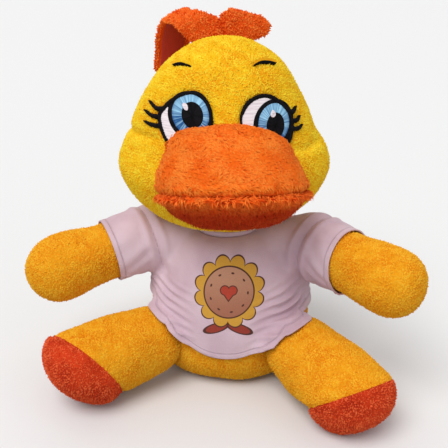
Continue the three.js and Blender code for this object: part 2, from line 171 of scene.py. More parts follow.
def spline(points, share, mirrored=False):
    """The curve through points. Its ends are mirrored in the first axis, or carried straight on."""
    p = np.array(points, float)
    flip = np.ones(p.shape[1])
    flip[0] = -1
    before, after = (p[1] * flip, p[-2] * flip) if mirrored else (2 * p[0] - p[1], 2 * p[-1] - p[-2])
    p = np.vstack([before, p, after])
    place = np.asarray(share, float) * (len(points) - 1)
    first = np.clip(place.astype(int), 0, len(points) - 2)
    return cubic(*(p[first + k] for k in range(4)), (place - first)[..., None])


def loop_spline(points, share):
    """The curve through a closed loop of points."""
    p = np.array(points, float)
    place = np.asarray(share, float) * len(p)
    first = np.floor(place).astype(int)
    return cubic(*(p[(first + k) % len(p)] for k in (-1, 0, 1, 2)), (place - first)[..., None])


def joined(*parts):
    """Arrays side by side in a new last axis."""
    return np.stack(np.broadcast_arrays(*parts), -1)


def smooth_step(low, high, value):
    """0 below low, 1 above high, and 3t^2 - 2t^3 between."""
    t = np.clip((value - low) / (high - low), 0, 1)
    return t * t * (3 - 2 * t)


def ripple(points, length, seed, waves=12):
    """Smooth noise of about -1 to 1: a sum of plane waves of that length in random directions."""
    rng = np.random.default_rng(seed)
    ways = unit(rng.normal(size=(waves, 3)))
    phases = rng.uniform(0, TURN, waves)
    return np.cos(points @ ways.T * TURN / length + phases).sum(-1) / math.sqrt(2 * waves)


class Place:
    """A turn followed by a shift, from a piece's own frame to the toy's."""

    def __init__(self, turn=None, shift=(0, 0, 0)):
        self.turn = np.eye(3) if turn is None else np.array(turn)
        self.shift = np.array(shift, float)

    def out(self, points):
        return points @ self.turn.T + self.shift

    def back(self, points):
        return (points - self.shift) @ self.turn

    def then(self, outer):
        """This place inside another."""
        return Place(outer.turn @ self.turn, outer.out(self.shift))

    def ahead(self):
        """The way that the piece's own -Y points."""
        return self.turn @ np.array([0, -1.0, 0])


def turned(degrees, axis):
    return np.array(Matrix.Rotation(math.radians(degrees), 3, axis))


torso_place = Place(turned(TORSO_YAW, "Z"))
head_place = Place(turned(HEAD_YAW, "Z"), HEAD_AT)
bill_place = Place(turned(BILL_TILT, "X"), BILL_AT).then(head_place)


def round_body(size, share, angle):
    """The profile's half width and height at that share, carried round an oval by the angle."""
    line = spline(size["profile"], share, mirrored=True)
    wide, high = line[..., 0], line[..., 1]
    deep = np.where(np.sin(angle) < 0, size["front"], size["back"])
    aside = wide * np.cos(angle) + size.get("lean", 0) * high
    return joined(aside, wide * deep * np.sin(angle), high)


def arm_station(t):
    """The arm narrows from its root to its waist, then widens to the hand."""
    narrowed = ARM["root"] + (ARM["waist"] - ARM["root"]) * np.clip(t / ARM["waist_at"], 0, 1)
    radius = narrowed + (ARM["hand"] - narrowed) * smooth_step(ARM["waist_at"], ARM["hand_at"], t)
    centre = t[..., None] * np.array([0, -ARM["length"], 0])
    heading = np.broadcast_to(np.array([0.0, -1.0, 0.0]), centre.shape)
    return centre, heading, radius, radius


def leg_station(droop):
    """The leg runs straight to the ankle while its rings tip down evenly and grow to the foot's oval."""
    tip = math.radians(droop)
    down = math.hypot(LEG["foot_tall"] * math.cos(tip), LEG["dome"] * math.sin(tip))
    ankle = np.array([0, -LEG["length"], down - LEG["height"] - PRESSED])

    def station(t):
        heading = np.stack([0 * t, -np.cos(tip * t), -np.sin(tip * t)], -1)
        wide = LEG["root"] + (LEG["foot_wide"] - LEG["root"]) * t
        tall = LEG["root"] + (LEG["foot_tall"] - LEG["root"]) * t
        return t[..., None] * ankle, heading, wide, tall

    return station


ROOT_SHARE = 0.22
END_SHARE = 0.72


def limb_surface(station, dome, share, angle):
    """A quarter of a ball, then rings square to the heading, then a blunt dome, each a share of the way."""
    share, angle = np.broadcast_arrays(share, angle)
    root_turn = np.clip(share / ROOT_SHARE, 0, 1) * np.pi / 2
    along = np.clip((share - ROOT_SHARE) / (END_SHARE - ROOT_SHARE), 0, 1)
    end_turn = np.clip((share - END_SHARE) / (1 - END_SHARE), 0, 1) * np.pi / 2
    centre, heading, wide, tall = station(along)
    slide = dome * np.sin(end_turn) - wide * np.cos(root_turn)
    narrowing = np.sin(root_turn) * np.maximum(np.cos(end_turn), 0) ** BLUNT
    across = unit(np.cross(UP, heading))
    over = np.cross(heading, across)
    return (
        centre
        + heading * slide[..., None]
        + across * (wide * narrowing * np.cos(angle))[..., None]
        + over * (tall * narrowing * np.sin(angle))[..., None]
    )


def arm_heading(side):
    swing, droop = math.radians(ARM_SWING[side]), math.radians(ARM_DROOP[side])
    return Vector((SIDE[side] * math.cos(swing) * math.cos(droop), -math.sin(swing) * math.cos(droop),
                   -math.sin(droop)))


def arm_place(side):
    turn = Vector((0, -1, 0)).rotation_difference(arm_heading(side)).to_matrix()
    return Place(turn, (SIDE[side] * ARM["out"], -ARM["forward"], ARM["height"])).then(torso_place)


def leg_turn(side):
    return turned(LEG_SPLAY[side] - TORSO_YAW, "Z")


def leg_place(side):
    return Place(leg_turn(side), (SIDE[side] * LEG["out"], -LEG["forward"], LEG["height"])).then(torso_place)


arms = {side: arm_place(side) for side in SIDE}
legs = {side: leg_place(side) for side in SIDE}


class Skin:
    """A triangle mesh in millimetres: points, triangles and the bake map's corners."""

    def __init__(self, points, triangles, chart=None):
        self.points = points
        self.triangles = triangles
        self.chart = chart

    def normals(self):
        """The sum of the faces' normals round each point, weighted by their area."""
        corner = self.points[self.triangles]
        face = np.cross(corner[:, 1] - corner[:, 0], corner[:, 2] - corner[:, 0])
        total = np.zeros_like(self.points)
        for k in range(3):
            np.add.at(total, self.triangles[:, k], face)
        return unit(total)

    def pushed(self, distance):
        """Each point moved out along its normal."""
        push = np.broadcast_to(np.asarray(distance, float), len(self.points))
        return Skin(self.points + self.normals() * push[:, None], self.triangles, self.chart)


def skin_of_rings(rings, first, last):
    """Triangles between neighbouring rings and from each end ring to its pole."""
    rows, sides = rings.shape[:2]

    def corners(*places):
        """Numbers and bake map places of points given as (ring, side); the poles' rings are -1 and rows."""
        ring, side = (joined(*part) for part in zip(*places))
        ring, side = np.broadcast_arrays(ring, side)
        number = 1 + ring * sides + (side % sides).astype(int)
        number = np.where(ring < 0, 0, np.where(ring == rows, 1 + rows * sides, number))
        chart = joined(side / sides, (ring + 1) / (rows + 1))
        return number.reshape(-1, 3), chart.reshape(-1, 3, 2)

    row, side = np.meshgrid(np.arange(rows - 1), np.arange(sides), indexing="ij")
    a, b, c, d = (row, side), (row, side + 1), (row + 1, side + 1), (row + 1, side)
    s = np.arange(sides)
    numbers, charts = zip(
        corners(a, b, c, a, c, d),
        corners((-1, s + 0.5), (0, s + 1), (0, s)),
        corners((rows - 1, s), (rows - 1, s + 1), (rows, s + 0.5)),
    )
    points = np.vstack([np.reshape(first, (1, 3)), rings.reshape(-1, 3), np.reshape(last, (1, 3))])
    return Skin(points, np.vstack(numbers), np.vstack(charts))


def closed_skin(surface, rows, sides):
    """The surface on an even grid of shares and angles, with its poles at shares 0 and 1."""
    share = np.linspace(0, 1, rows + 2)
    angle = np.linspace(0, TURN, sides, endpoint=False)
    grid = surface(share[:, None], angle[None, :])
    return skin_of_rings(grid[1:-1], grid[0, 0], grid[-1, 0])


def ring_skin(grid):
    """A grid that closes on itself both ways, as a hoop does."""
    rows, sides = grid.shape[:2]
    row, side = np.meshgrid(np.arange(rows), np.arange(sides), indexing="ij")
    below, after = (row + 1) % rows, (side + 1) % sides
    a, b = row * sides + side, row * sides + after
    c, d = below * sides + after, below * sides + side
    return Skin(grid.reshape(-1, 3), joined(a, b, c, a, c, d).reshape(-1, 3))


def trimmed(skin, depth):
    """The part where depth is above 0, cut clean where it is 0: each edge that crosses gets a point there."""
    points, triangles = skin.points, skin.triangles
    inside = depth > 0
    count = inside[triangles].sum(1)
    parts = [triangles[count == 3]]
    cuts = []

    def cut(a, b):
        cuts.append(joined(a, b))
        start = len(points) + sum(len(pair) for pair in cuts[:-1])
        return start + np.arange(len(a))

    for wanted in (1, 2):
        found = triangles[count == wanted]
        odd = inside[found] == (wanted == 1)
        order = (np.argmax(odd, 1)[:, None] + np.arange(3)) % 3
        a, b, c = np.take_along_axis(found, order, 1).T
        ab, ac = cut(a, b), cut(a, c)
        if wanted == 1:
            parts.append(joined(a, ab, ac))
        else:
            parts.extend([joined(ab, b, c), joined(ab, c, ac)])
    pairs = np.vstack(cuts)
    share = (depth[pairs[:, 0]] / (depth[pairs[:, 0]] - depth[pairs[:, 1]]))[:, None]
    ends = np.sort(pairs, 1)
    _, first, same = np.unique(ends[:, 0] * len(points) + ends[:, 1], return_index=True, return_inverse=True)
    added = (points[pairs[:, 0]] * (1 - share) + points[pairs[:, 1]] * share)[first]
    everything = np.vstack(parts)
    new = everything >= len(points)
    everything[new] = len(points) + same.reshape(-1)[everything[new] - len(points)]
    used, renumbered = np.unique(everything, return_inverse=True)
    return Skin(np.vstack([points, added])[used], renumbered.reshape(-1, 3))


def softened(skin, weight, rounds):
    """Each point is drawn to the mean of its neighbours by its weight, again and again."""
    edges = np.vstack([skin.triangles[:, [0, 1]], skin.triangles[:, [1, 2]], skin.triangles[:, [2, 0]]])
    degree = np.bincount(edges.ravel(), minlength=len(skin.points))[:, None]
    points = skin.points.copy()
    for _ in range(rounds):
        total = np.zeros_like(points)
        for axis in range(3):
            total[:, axis] = (
                np.bincount(edges[:, 0], points[edges[:, 1], axis], len(points))
                + np.bincount(edges[:, 1], points[edges[:, 0], axis], len(points))
            )
        points += (total / degree - points) * weight[:, None]
    return Skin(points, skin.triangles)


# Pieces

def piece(name, skin, finish, shading=None, **attributes):
    """Puts a skin into a mesh object, in metres, with one number at each point for each attribute."""
    mesh = bpy.data.meshes.new(name)
    count = len(skin.triangles)
    mesh.vertices.add(len(skin.points))
    mesh.vertices.foreach_set("co", (skin.points * MM).astype(np.float32).ravel())
    mesh.loops.add(3 * count)
    mesh.loops.foreach_set("vertex_index", skin.triangles.astype(np.int32).ravel())
    mesh.polygons.add(count)
    mesh.polygons.foreach_set("loop_start", np.arange(0, 3 * count, 3, dtype=np.int32))
    mesh.polygons.foreach_set("use_smooth", np.full(count, True))
    if skin.chart is not None:
        mesh.uv_layers.new(name="OFBake").data.foreach_set("uv", skin.chart.astype(np.float32).ravel())
    for key, values in attributes.items():
        made = mesh.attributes.new(key, "FLOAT", "POINT")
        made.data.foreach_set("value", np.asarray(values, np.float32).ravel())
    mesh.update(calc_edges=True)
    mesh.validate()
    if shading is not None:
        mesh.normals_split_custom_set(shading.tolist())
    material, slot = finish
    mesh.materials.append(material)
    made = bpy.data.objects.new(name, mesh)
    bpy.context.scene.collection.objects.link(made)
    return made


def carry(made, rides):
    """Rides on one body; given two bodies and two points, it rides on none and stays where it is made."""
    if isinstance(rides, str):
        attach(made, rides)
    else:
        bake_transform(made)


def scattered(skin, density, rng, faces=None):
    """Points spread over a skin by area, a jittered even step along its faces in turn, with their normals."""
    triangles = skin.triangles if faces is None else skin.triangles[faces]
    corner = skin.points[triangles]
    area = np.linalg.norm(np.cross(corner[:, 1] - corner[:, 0], corner[:, 2] - corner[:, 0]), axis=1) / 2
    count = int(area.sum() * density)
    place = (np.arange(count) + rng.uniform(size=count)) / count * area.sum()
    face = np.minimum(np.searchsorted(np.cumsum(area), place), len(area) - 1)
    a, b = rng.uniform(size=(2, count))
    over = a + b > 1
    a, b = np.where(over, 1 - a, a), np.where(over, 1 - b, b)
    share = joined(1 - a - b, a, b)[..., None]
    roots = (skin.points[triangles[face]] * share).sum(1)
    normals = unit((skin.normals()[triangles[face]] * share).sum(1))
    return roots, normals


def pile(name, skin, rides, finish, look, seed, keep=None, comb=None, faces=None):
    """Tufts on a skin: long pile is blades with a low ridge that arch over along their lie, some with a
    free tip, and short pile is low cones that lean over. The lie is the combing, smooth noise that clumps
    neighbours, and chance. A face that looks outwards is shaded partly by the skin's normal, because pile
    lights up as a whole."""
    rng = np.random.default_rng(seed)
    roots, normals = scattered(skin, look["density"], rng, faces)
    if keep is not None:
        kept = keep(roots)
        roots, normals = roots[kept], normals[kept]
    count = len(roots)
    noise = np.stack([ripple(roots, look["clump"], seed + k) for k in range(3)], -1)
    lie = (comb(roots, normals) if comb else np.zeros_like(roots)) * look["comb"]
    lie = lie + noise * look["mess"] + rng.normal(size=(count, 3)) * look["stray"]
    lie = unit(lie - normals * (lie * normals).sum(-1, keepdims=True))
    length = look["length"] * rng.uniform(0.7, 1.15, count)[:, None]
    rise = look["rise"] * rng.uniform(0.6, 1.4, count)[:, None]
    free = rng.uniform(size=(count, 1)) < look["free"]
    side = np.cross(normals, lie)
    if look["ridge"]:
        corners = [side, look["ridge"] * normals, -side]
    else:
        corners = [lie * math.cos(a) + side * math.sin(a) for a in (TURN / 6, TURN / 2, 5 * TURN / 6)]
    width = look["width"] * rng.uniform(0.8, 1.2, count)[:, None]
    steps = look["steps"]
    layers = []
    for k in range(steps):
        s = k / steps
        height = rise * length * np.where(free, s, 2.4 * s * (1 - s)) - (look["sink"] if k == 0 else 0)
        spine = roots + lie * s * length + normals * height
        layers.extend(spine + corner * width * (1 - 0.55 * s) for corner in corners)
    layers.append(roots + lie * length + normals * np.where(free, rise * length, -look["sink"]))
    points = np.stack(layers, 1)
    points[..., 2] = np.maximum(points[..., 2], 0.05)
    local = [(0, 2, 1)]
    flat = [((0, 0), (2 / 3, 0), (1 / 3, 0))]
    for k in range(steps):
        for c in range(3):
            low, low_next = 3 * k + c, 3 * k + (c + 1) % 3
            u, u_next = c / 3, (c + 1) / 3
            v, v_next = k / steps, (k + 1) / steps
            if k == steps - 1:
                local.append((low, low_next, 3 * steps))
                flat.append(((u, v), (u_next, v), ((u + u_next) / 2, 1)))
            else:
                local.extend([(low, low_next, low_next + 3), (low, low_next + 3, low + 3)])
                far = (u_next, v_next)
                flat.extend([((u, v), (u_next, v), far), ((u, v), far, (u, v_next))])
    local, flat = np.array(local), np.array(flat, float)
    first, second, third = (points[:, local[:, k]] for k in range(3))
    face = unit(np.cross(second - first, third - first))
    outward = normals[:, None]
    shading = unit(face + look["soft"] * np.maximum((face * outward).sum(-1, keepdims=True), 0) * outward)
    triangles = (local[None] + (3 * steps + 1) * np.arange(count)[:, None, None]).reshape(-1, 3)
    cells = math.ceil(math.sqrt(count))
    cell = np.stack([np.arange(count) % cells, np.arange(count) // cells], -1)
    chart = ((cell[:, None, None] + 0.1 + 0.8 * flat[None]) / cells).reshape(-1, 3, 2)
    tip = np.tile(np.append(np.repeat(np.arange(steps) / steps, 3), 1.0), count)
    tone = np.repeat(np.clip(0.5 + 0.28 * ripple(roots, look["clump"] * 1.7, seed + 7)
                             + 0.2 * rng.normal(size=count), 0, 1), 3 * steps + 1)
    made = piece(name, Skin(points.reshape(-1, 3), triangles, chart), finish,
                 np.repeat(shading.reshape(-1, 3), 3, axis=0), tip=tip, tone=tone)
    carry(made, rides)


# Finishes

def operation(name, reflected=False):
    """A method that makes the Math node of that name; a reflected one takes its sockets the other way."""
    def method(self, *others):
        values = (*others, self) if reflected else (self, *others)
        return self.finish.node("Math", {"operation": name}, dict(enumerate(values)))
    return method


class Value:
    """A socket of a material; adding, multiplying and the like makes the Math node that does it."""

    def __init__(self, finish, socket):
        self.finish = finish
        self.socket = socket

    __add__ = __radd__ = operation("ADD")
    __sub__ = operation("SUBTRACT")
    __rsub__ = operation("SUBTRACT", reflected=True)
    __mul__ = __rmul__ = operation("MULTIPLY")
    __truediv__ = operation("DIVIDE")
    __pow__ = operation("POWER")
    __abs__ = operation("ABSOLUTE")
    sin = operation("SINE")
    cos = operation("COSINE")
    angle = operation("ARCTAN2")
    least = operation("MINIMUM")
    most = operation("MAXIMUM")

    def ramp(self, low, high):
        """0 at low, 1 at high, smooth between."""
        settings = {"interpolation_type": "SMOOTHSTEP"}
        return self.finish.node("MapRange", settings, {"Value": self, "From Min": low, "From Max": high})


def linear(code):
    """The linear colour of a hex code as it looks on a screen."""
    shown = np.array([int(code[k:k + 2], 16) for k in (1, 3, 5)]) / 255
    return (*np.where(shown <= 0.04045, shown / 12.92, ((shown + 0.055) / 1.055) ** 2.4), 1.0)


class Finish:
    """A material with one Principled shader, and the slot of the part that it fills."""

    def __init__(self, name, slot, **settings):
        self.slot = slot
        self.material = bpy.data.materials.new(name)
        self.material.use_nodes = True
        self.tree = self.material.node_tree
        self.shader = self.tree.nodes["Principled BSDF"]
        self.set(self.shader, settings)

    def set(self, node, inputs):
        for key, value in inputs.items():
            socket = node.inputs[key.replace("_", " ") if isinstance(key, str) else key]
            if isinstance(value, Value):
                self.tree.links.new(value.socket, socket)
            else:
                socket.default_value = value

    def node(self, kind, settings=(), inputs=(), output=0):
        """Makes a node, sets its settings, then its sockets, and gives one of its outputs."""
        made = self.tree.nodes.new("ShaderNode" + kind)
        for key, value in dict(settings).items():
            setattr(made, key, value)
        self.set(made, dict(inputs))
        return Value(self, made.outputs[output])

    def paint(self, **settings):
        self.set(self.shader, settings)
        return self.material, self.slot

    def place(self):
        return self.node("TexCoord", output="Object")

    def attribute(self, name):
        return self.node("Attribute", {"attribute_name": name}, output="Fac")

    def noise(self, scale, detail=2, roughness=0.5):
        """Noise whose patches are about 1 / scale metres across."""
        inputs = {"Vector": self.place(), "Scale": scale, "Detail": detail, "Roughness": roughness}
        return self.node("TexNoise", inputs=inputs, output="Fac")

    def axes(self):
        """The three coordinates of a point of the piece, in metres."""
        return [self.node("SeparateXYZ", inputs={0: self.place()}, output=k) for k in range(3)]

    def mix(self, first, second, factor, way="MIX"):
        settings = {"data_type": "RGBA", "blend_type": way}
        return self.node("Mix", settings, {0: factor, 6: first, 7: second}, 2)

    def bump(self, height, distance):
        return self.node("Bump", inputs={"Height": height, "Distance": distance, "Strength": 1.0})


def plush(name, slot, deep, middle, light, below=None):
    """Pile: deep colour at the roots, light at the tips, in soft patches and from tuft to tuft. The deep,
    more orange root colour, which the bare pelt shows too, is painted shade between the tufts. Below a plane,
    given by its point and its normal, it turns to a darker colour over a few millimetres: painted shade."""
    finish = Finish(name, slot, Roughness=0.9, Specular_IOR_Level=0.15, Sheen_Weight=0.2,
                    Sheen_Roughness=0.5, Sheen_Tint=linear(light))
    tip = finish.attribute("tip")
    tone = finish.attribute("tone")
    patches = finish.noise(70, 3)
    # The deep root colour is painted shade between the tufts.
    root = finish.mix(linear(deep), linear(middle), patches.ramp(0.3, 0.7))
    far = finish.mix(linear(middle), linear(light), (tone * 0.7 + patches * 0.3).ramp(0.15, 0.85))
    grain = finish.noise(900, 2)
    colour = finish.mix(root, far, tip.ramp(0, 0.8))
    # Painted shade: below the plane the colour is multiplied by the dark colour.
    if below:
        point, normal, dark = below
        up = sum(((part - at * MM) * way for part, at, way in zip(finish.axes(), point, normal)), 0)
        colour = finish.mix(colour, linear(dark), up.ramp(-0.003, -0.011), "MULTIPLY")
    return finish.paint(Base_Color=colour, Normal=finish.bump(grain, 0.0003))


yellow_plush = plush("yellow_plush", "yellow_plush", "#e69408", "#eebb14", "#f6dc38")
# A darker, more orange copy of the yellow plush for the torso, neck and limbs: painted shade, as they lie in
# shade below the head.
yellow_plush_painted_shade = plush("yellow_plush_painted_shade", "yellow_plush", "#da7e08", "#e69e16", "#f0ba30")
bill_plush = plush("orange_plush", "orange_plush", "#e64804", "#f46a10", "#fd9438")
# The lower bill: a darker, redder copy of the bill's plush that darkens further below the mouth: painted
# shade under the upper bill.
lip_plush_painted_shade = plush("lip_plush_painted_shade", "orange_plush", "#e03e04", "#f05c10", "#fc8a34",
                  below=(bill_place.shift, bill_place.turn @ UP, "#c07a68"))
crest_plush = plush("crest_plush", "crest_plush", "#dc420a", "#ec6016", "#fa8a3a")
sole_plush = plush("sole_plush", "sole_plush", "#a02408", "#cc3c16", "#ec6c3c")


def thread(name, dark, light):
    """Satin stitches: a colour between two, thread by thread."""
    finish = Finish(name, "eye_thread", Roughness=0.7, Specular_IOR_Level=0.08)
    return finish.paint(Base_Color=finish.mix(linear(dark), linear(light), finish.attribute("thread")))


black_thread = thread("black_thread", "#060507", "#141215")
iris_thread = thread("iris_thread", "#23568f", "#a9dcf7")


def make_white_thread():
    """White satin stitches that lie level."""
    finish = Finish("white_thread", "eye_thread", Roughness=0.7, Specular_IOR_Level=0.08)
    x, y, z = finish.axes()
    rows = finish.node("CombineXYZ", inputs={0: x * 120, 1: y * 120, 2: z * 1500})
    streak = finish.node("TexNoise", inputs={"Vector": rows, "Scale": 1, "Detail": 1}, output="Fac")
    return finish.paint(
        Base_Color=finish.mix(linear("#dccfd5"), linear("#efe5e8"), streak.ramp(0.3, 0.6)),
        Normal=finish.bump(streak, 0.0001),
    )


white_thread = make_white_thread()


def make_lining():
    """Smooth red cloth with a faint grain."""
    finish = Finish("crest_lining", "crest_lining", Roughness=0.55, Sheen_Weight=0.3, Sheen_Roughness=0.4)
    cloudy = finish.noise(60, 2)
    return finish.paint(
        Base_Color=finish.mix(linear("#9a1606"), linear("#ba240a"), cloudy),
        Normal=finish.bump(finish.noise(2500, 2), 0.0002),
    )


crest_lining = make_lining()


PRINT = {"aside": 3.8, "up": 64.8}


def printed(finish, cloth):
    """A flower on the chest, made from distances in millimetres: a peach disc with a heart and dots, yellow
    petals round it and two red leaves below."""
    x, y, z = finish.axes()
    turn = math.radians(TORSO_YAW)
    aside = (x * math.cos(turn) + y * math.sin(turn)) * 1000 - PRINT["aside"]
    up = z * 1000 - PRINT["up"]
    front = (y * math.cos(turn) - x * math.sin(turn)).ramp(-0.008, -0.012)
    radius = (aside * aside + up * up) ** 0.5
    turned_by = up.angle(aside)
    half = abs(aside)
    brown = linear("#4c2215")

    def shape(below, color, on, outline=0.5):
        """Where the value is below 0: the colour, inside a brown line."""
        filled = finish.mix(on, color, below.ramp(0.08, -0.08))
        line = (below * below).ramp(outline * outline, outline * outline * 0.3)
        return finish.mix(filled, brown, line)

    each = half - 6.6
    tilted = up + 20.6 + each * 0.35
    leaves = ((each * each / 49 + tilted * tilted / 8) ** 0.5 - 1) * 3
    petals = radius - 16.2 - abs((turned_by * 6).sin()) ** 0.6 * 4
    lobes = ((half - 2.2) ** 2 + (up - 1.4) ** 2) ** 0.5 - 2.6
    heart = lobes.least((half * 0.8 - (up + 4.6) * 0.6).most(up - 1.6))
    ring = radius - 10.8
    dots = ring * ring + 1 - (turned_by * 9).cos()
    art = shape(leaves, linear("#96301f"), cloth)
    art = shape(petals, linear("#cf9a30"), art)
    # The print's colours are darkened for the shade over the shirt's lower front, and the peach darkens
    # towards the bottom of the disc: partly the print, partly painted shade.
    peach = finish.mix(linear("#a3664c"), linear("#bd8a6c"), up.ramp(-14, 14))
    art = shape(radius - 14.2, peach, art)
    art = shape(heart, linear("#b23a22"), art, 0.35)
    art = finish.mix(art, brown, dots.ramp(0.35, 0.2))
    return finish.mix(cloth, art, front)


def make_knit():
    """White jersey with fine wales, stitched hems and a printed chest."""
    finish = Finish("white_knit", "white_knit", Roughness=0.8, Sheen_Weight=0.2, Sheen_Roughness=0.5)
    cloudy = finish.noise(35, 3)
    edge = finish.attribute("edge")
    from_line = edge - STITCHES_UP
    stitch_line = (from_line * from_line).ramp(0.25, 0.0)
    cloth = finish.mix(linear("#c6a8b6"), linear("#d8bfca"), cloudy.ramp(0.3, 0.7))
    cloth = finish.mix(cloth, linear("#a98f9d"), stitch_line * 0.4)
    height = finish.noise(2200, 1) - stitch_line
    return finish.paint(Base_Color=printed(finish, cloth), Normal=finish.bump(height, 0.00025))


white_knit = make_knit()


# Torso, arms, legs and head

def groove(points, path, width, depth):
    """Depth times the bell curve of the distance from a path; the depth fades in and out along it."""
    deepest = np.zeros(len(points))
    ends = np.linspace(0, 1, len(path))
    for a, b, start, end in zip(path[:-1], path[1:], ends[:-1], ends[1:]):
        t = np.clip(((points - a) @ (b - a)) / ((b - a) @ (b - a)), 0, 1)
        distance = np.linalg.norm(points - a - t[:, None] * (b - a), axis=1)
        share = start + (end - start) * t
        fade = smooth_step(0, 0.25, share) * smooth_step(0, 0.25, 1 - share)
        deepest = np.maximum(deepest, np.exp(-((distance / width) ** 2)) * fade)
    return depth * deepest


def stuffed(part, skin, rides, finish, nodes=None):
    """A stuffed pelt that stands for its CAD cover and filling."""
    skin.points[:, 2] = np.maximum(skin.points[:, 2], 0)
    made = piece(f"{part}_pelt", skin, finish)
    carry(made, rides)
    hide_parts(*(nodes or [f"{part}_cover", f"{part}_filling"]))


def sheet(name, skin, rides, finish, node, cut, held, rests_on, thick=0, **attributes):
    """A sheet of cloth, with its thickness inside the skin, that stands for its CAD node."""
    made = piece(name, skin, finish, **attributes)
    if thick:
        wall = made.modifiers.new("thickness", "SOLIDIFY")
        wall.thickness = thick * MM
        wall.offset = -1
    carry(made, rides)
    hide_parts(node)


SHORT = {"density": 1.25, "length": 0.45, "width": 1.15, "sink": 0.35, "steps": 1, "clump": 4.5, "comb": 0.4,
         "mess": 0.7, "stray": 0.5, "rise": 1.6, "ridge": 0, "free": 1, "soft": 2}
MIDDLE = {**SHORT, "density": 1.35, "length": 0.6, "width": 1.1, "rise": 1.8}
LONG = {"density": 2.3, "length": 4.2, "width": 0.5, "sink": 0.3, "steps": 2, "clump": 9.0, "comb": 1.0,
        "mess": 0.8, "stray": 0.25, "rise": 0.26, "ridge": 0.5, "free": 0, "soft": 4}
SHAGGY = {**LONG, "clump": 6.0, "mess": 0.6, "rise": 0.36, "free": 0.25}
SHORT_ROOM = 1.2
LONG_ROOM = 2.8


def lumpy(skin, amount, length, seed, room=SHORT_ROOM):
    """Stuffing that swells unevenly under a pelt, which leaves its pile room inside the form."""
    return skin.pushed(amount * ripple(skin.points, length, seed) - room)


def downward(roots, normals):
    return np.broadcast_to(-UP, roots.shape)


def above_floor(roots):
    """Where the pile isn't pressed flat by the floor."""
    return roots[:, 2] > 0.7


torso_form = closed_skin(lambda share, angle: torso_place.out(round_body(TORSO, share, angle)), 60, 96)
torso_skin = lumpy(torso_form, 0.5, 30, 3)
stuffed("torso", torso_skin, "torso", yellow_plush_painted_shade)


def hem_height(points):
    """The hem's height. In front it rises as a power of the distance from the middle, up to the thighs, and
    from there in a straight line. It is level at the sides, lower at the left, and sinks to the back."""
    facing = -points[:, 1] / np.hypot(points[:, 0], points[:, 1])
    aside = np.abs(points[:, 0] - HEM["middle"])
    curved = HEM["rise"] * (np.minimum(aside, HEM["thigh"]) / HEM["span"]) ** HEM["power"]
    front = curved + HEM["slope"] * np.maximum(aside - HEM["thigh"], 0)
    level = HEM["side"] - HEM["left_drop"] * smooth_step(0, 30, points[:, 0])
    behind = level * (1 - np.maximum(-facing, 0) ** 1.5)
    return HEM["height"] + behind + (front - behind) * smooth_step(0.35, 0.6, facing)


def under_shirt(roots):
    local = torso_place.back(roots)
    return above_floor(roots) & (local[:, 2] < hem_height(local) + 2)


pile("torso_pile", torso_skin, "torso", yellow_plush_painted_shade, SHORT, 11, under_shirt, downward)


def bent(side):
    """What an arm and its sleeve are given to ride on: the torso, the arm, and two points a short way past
    the armhole.
    """
    joint, heading = arms[side].shift, arms[side].ahead()
    start = ARMHOLE[side] + BEND_FROM
    return "torso", f"{side}_arm", joint + heading * start, joint + heading * (start + BEND)


def arm_surface(side):
    return lambda share, angle: arms[side].out(limb_surface(arm_station, ARM["hand"], share, angle))


for side in SIDE:
    joint, heading = arms[side].shift, arms[side].ahead()
    skin = lumpy(closed_skin(arm_surface(side), 60, 64), 0.5, 26, 21 + SIDE[side])
    stuffed(f"{side}_arm", skin, bent(side), yellow_plush_painted_shade)
    pile(f"{side}_arm_pile", skin, bent(side), yellow_plush_painted_shade, SHORT, 31 + SIDE[side],
         lambda roots: (roots - joint) @ heading > CUFF - 3, lambda roots, normals: heading + 0 * roots)

    hip, heading = legs[side].shift, legs[side].ahead()
    station = leg_station(FOOT_DROOP[side])
    ankle = legs[side].out(station(np.array([1.0]))[0][0])
    tip = math.radians(SOLE_TIP[side])
    sole_way = turned(SOLE_TURN[side], "Z") @ np.array([0, -math.cos(tip), -math.sin(tip)])
    sole_way = legs[side].turn @ sole_way
    past_seam = lambda roots: (roots - ankle) @ sole_way - SOLE_SHIFT[side]
    leg_rides = ("torso", f"{side}_leg", *(hip + heading * far for far in HIP_BEND))
    surface = lambda share, angle: legs[side].out(limb_surface(station, DOME[side], share, angle))
    whole = lumpy(closed_skin(surface, 96, 96), 0.6, 28, 41 + SIDE[side])
    whole = whole.pushed(-SOLE_SEAM["depth"] * np.exp(-(past_seam(whole.points) / SOLE_SEAM["width"]) ** 2))
    stuffed(f"{side}_leg", whole, leg_rides, yellow_plush_painted_shade)
    pile(f"{side}_leg_pile", whole, leg_rides, yellow_plush_painted_shade, SHORT, 51 + SIDE[side],
         lambda roots: above_floor(roots) & (past_seam(roots) < -SOLE_SEAM["bare"]),
         lambda roots, normals: heading + 0 * roots)
    sole = trimmed(whole.pushed(SOLE_SEAM["lift"]), past_seam(whole.points))
    sole.points[:, 2] = np.maximum(sole.points[:, 2], 0)
    sheet(f"{side}_sole_pelt", sole, f"{side}_leg", sole_plush, f"{side}_sole", "sole",
          "stretched", f"{side}_leg_pelt", SOLE_THICK)
    pile(f"{side}_sole_pile", whole, f"{side}_leg", sole_plush, MIDDLE, 61 + SIDE[side],
         lambda roots: above_floor(roots) & (past_seam(roots) > SOLE_SEAM["bare"]), downward)

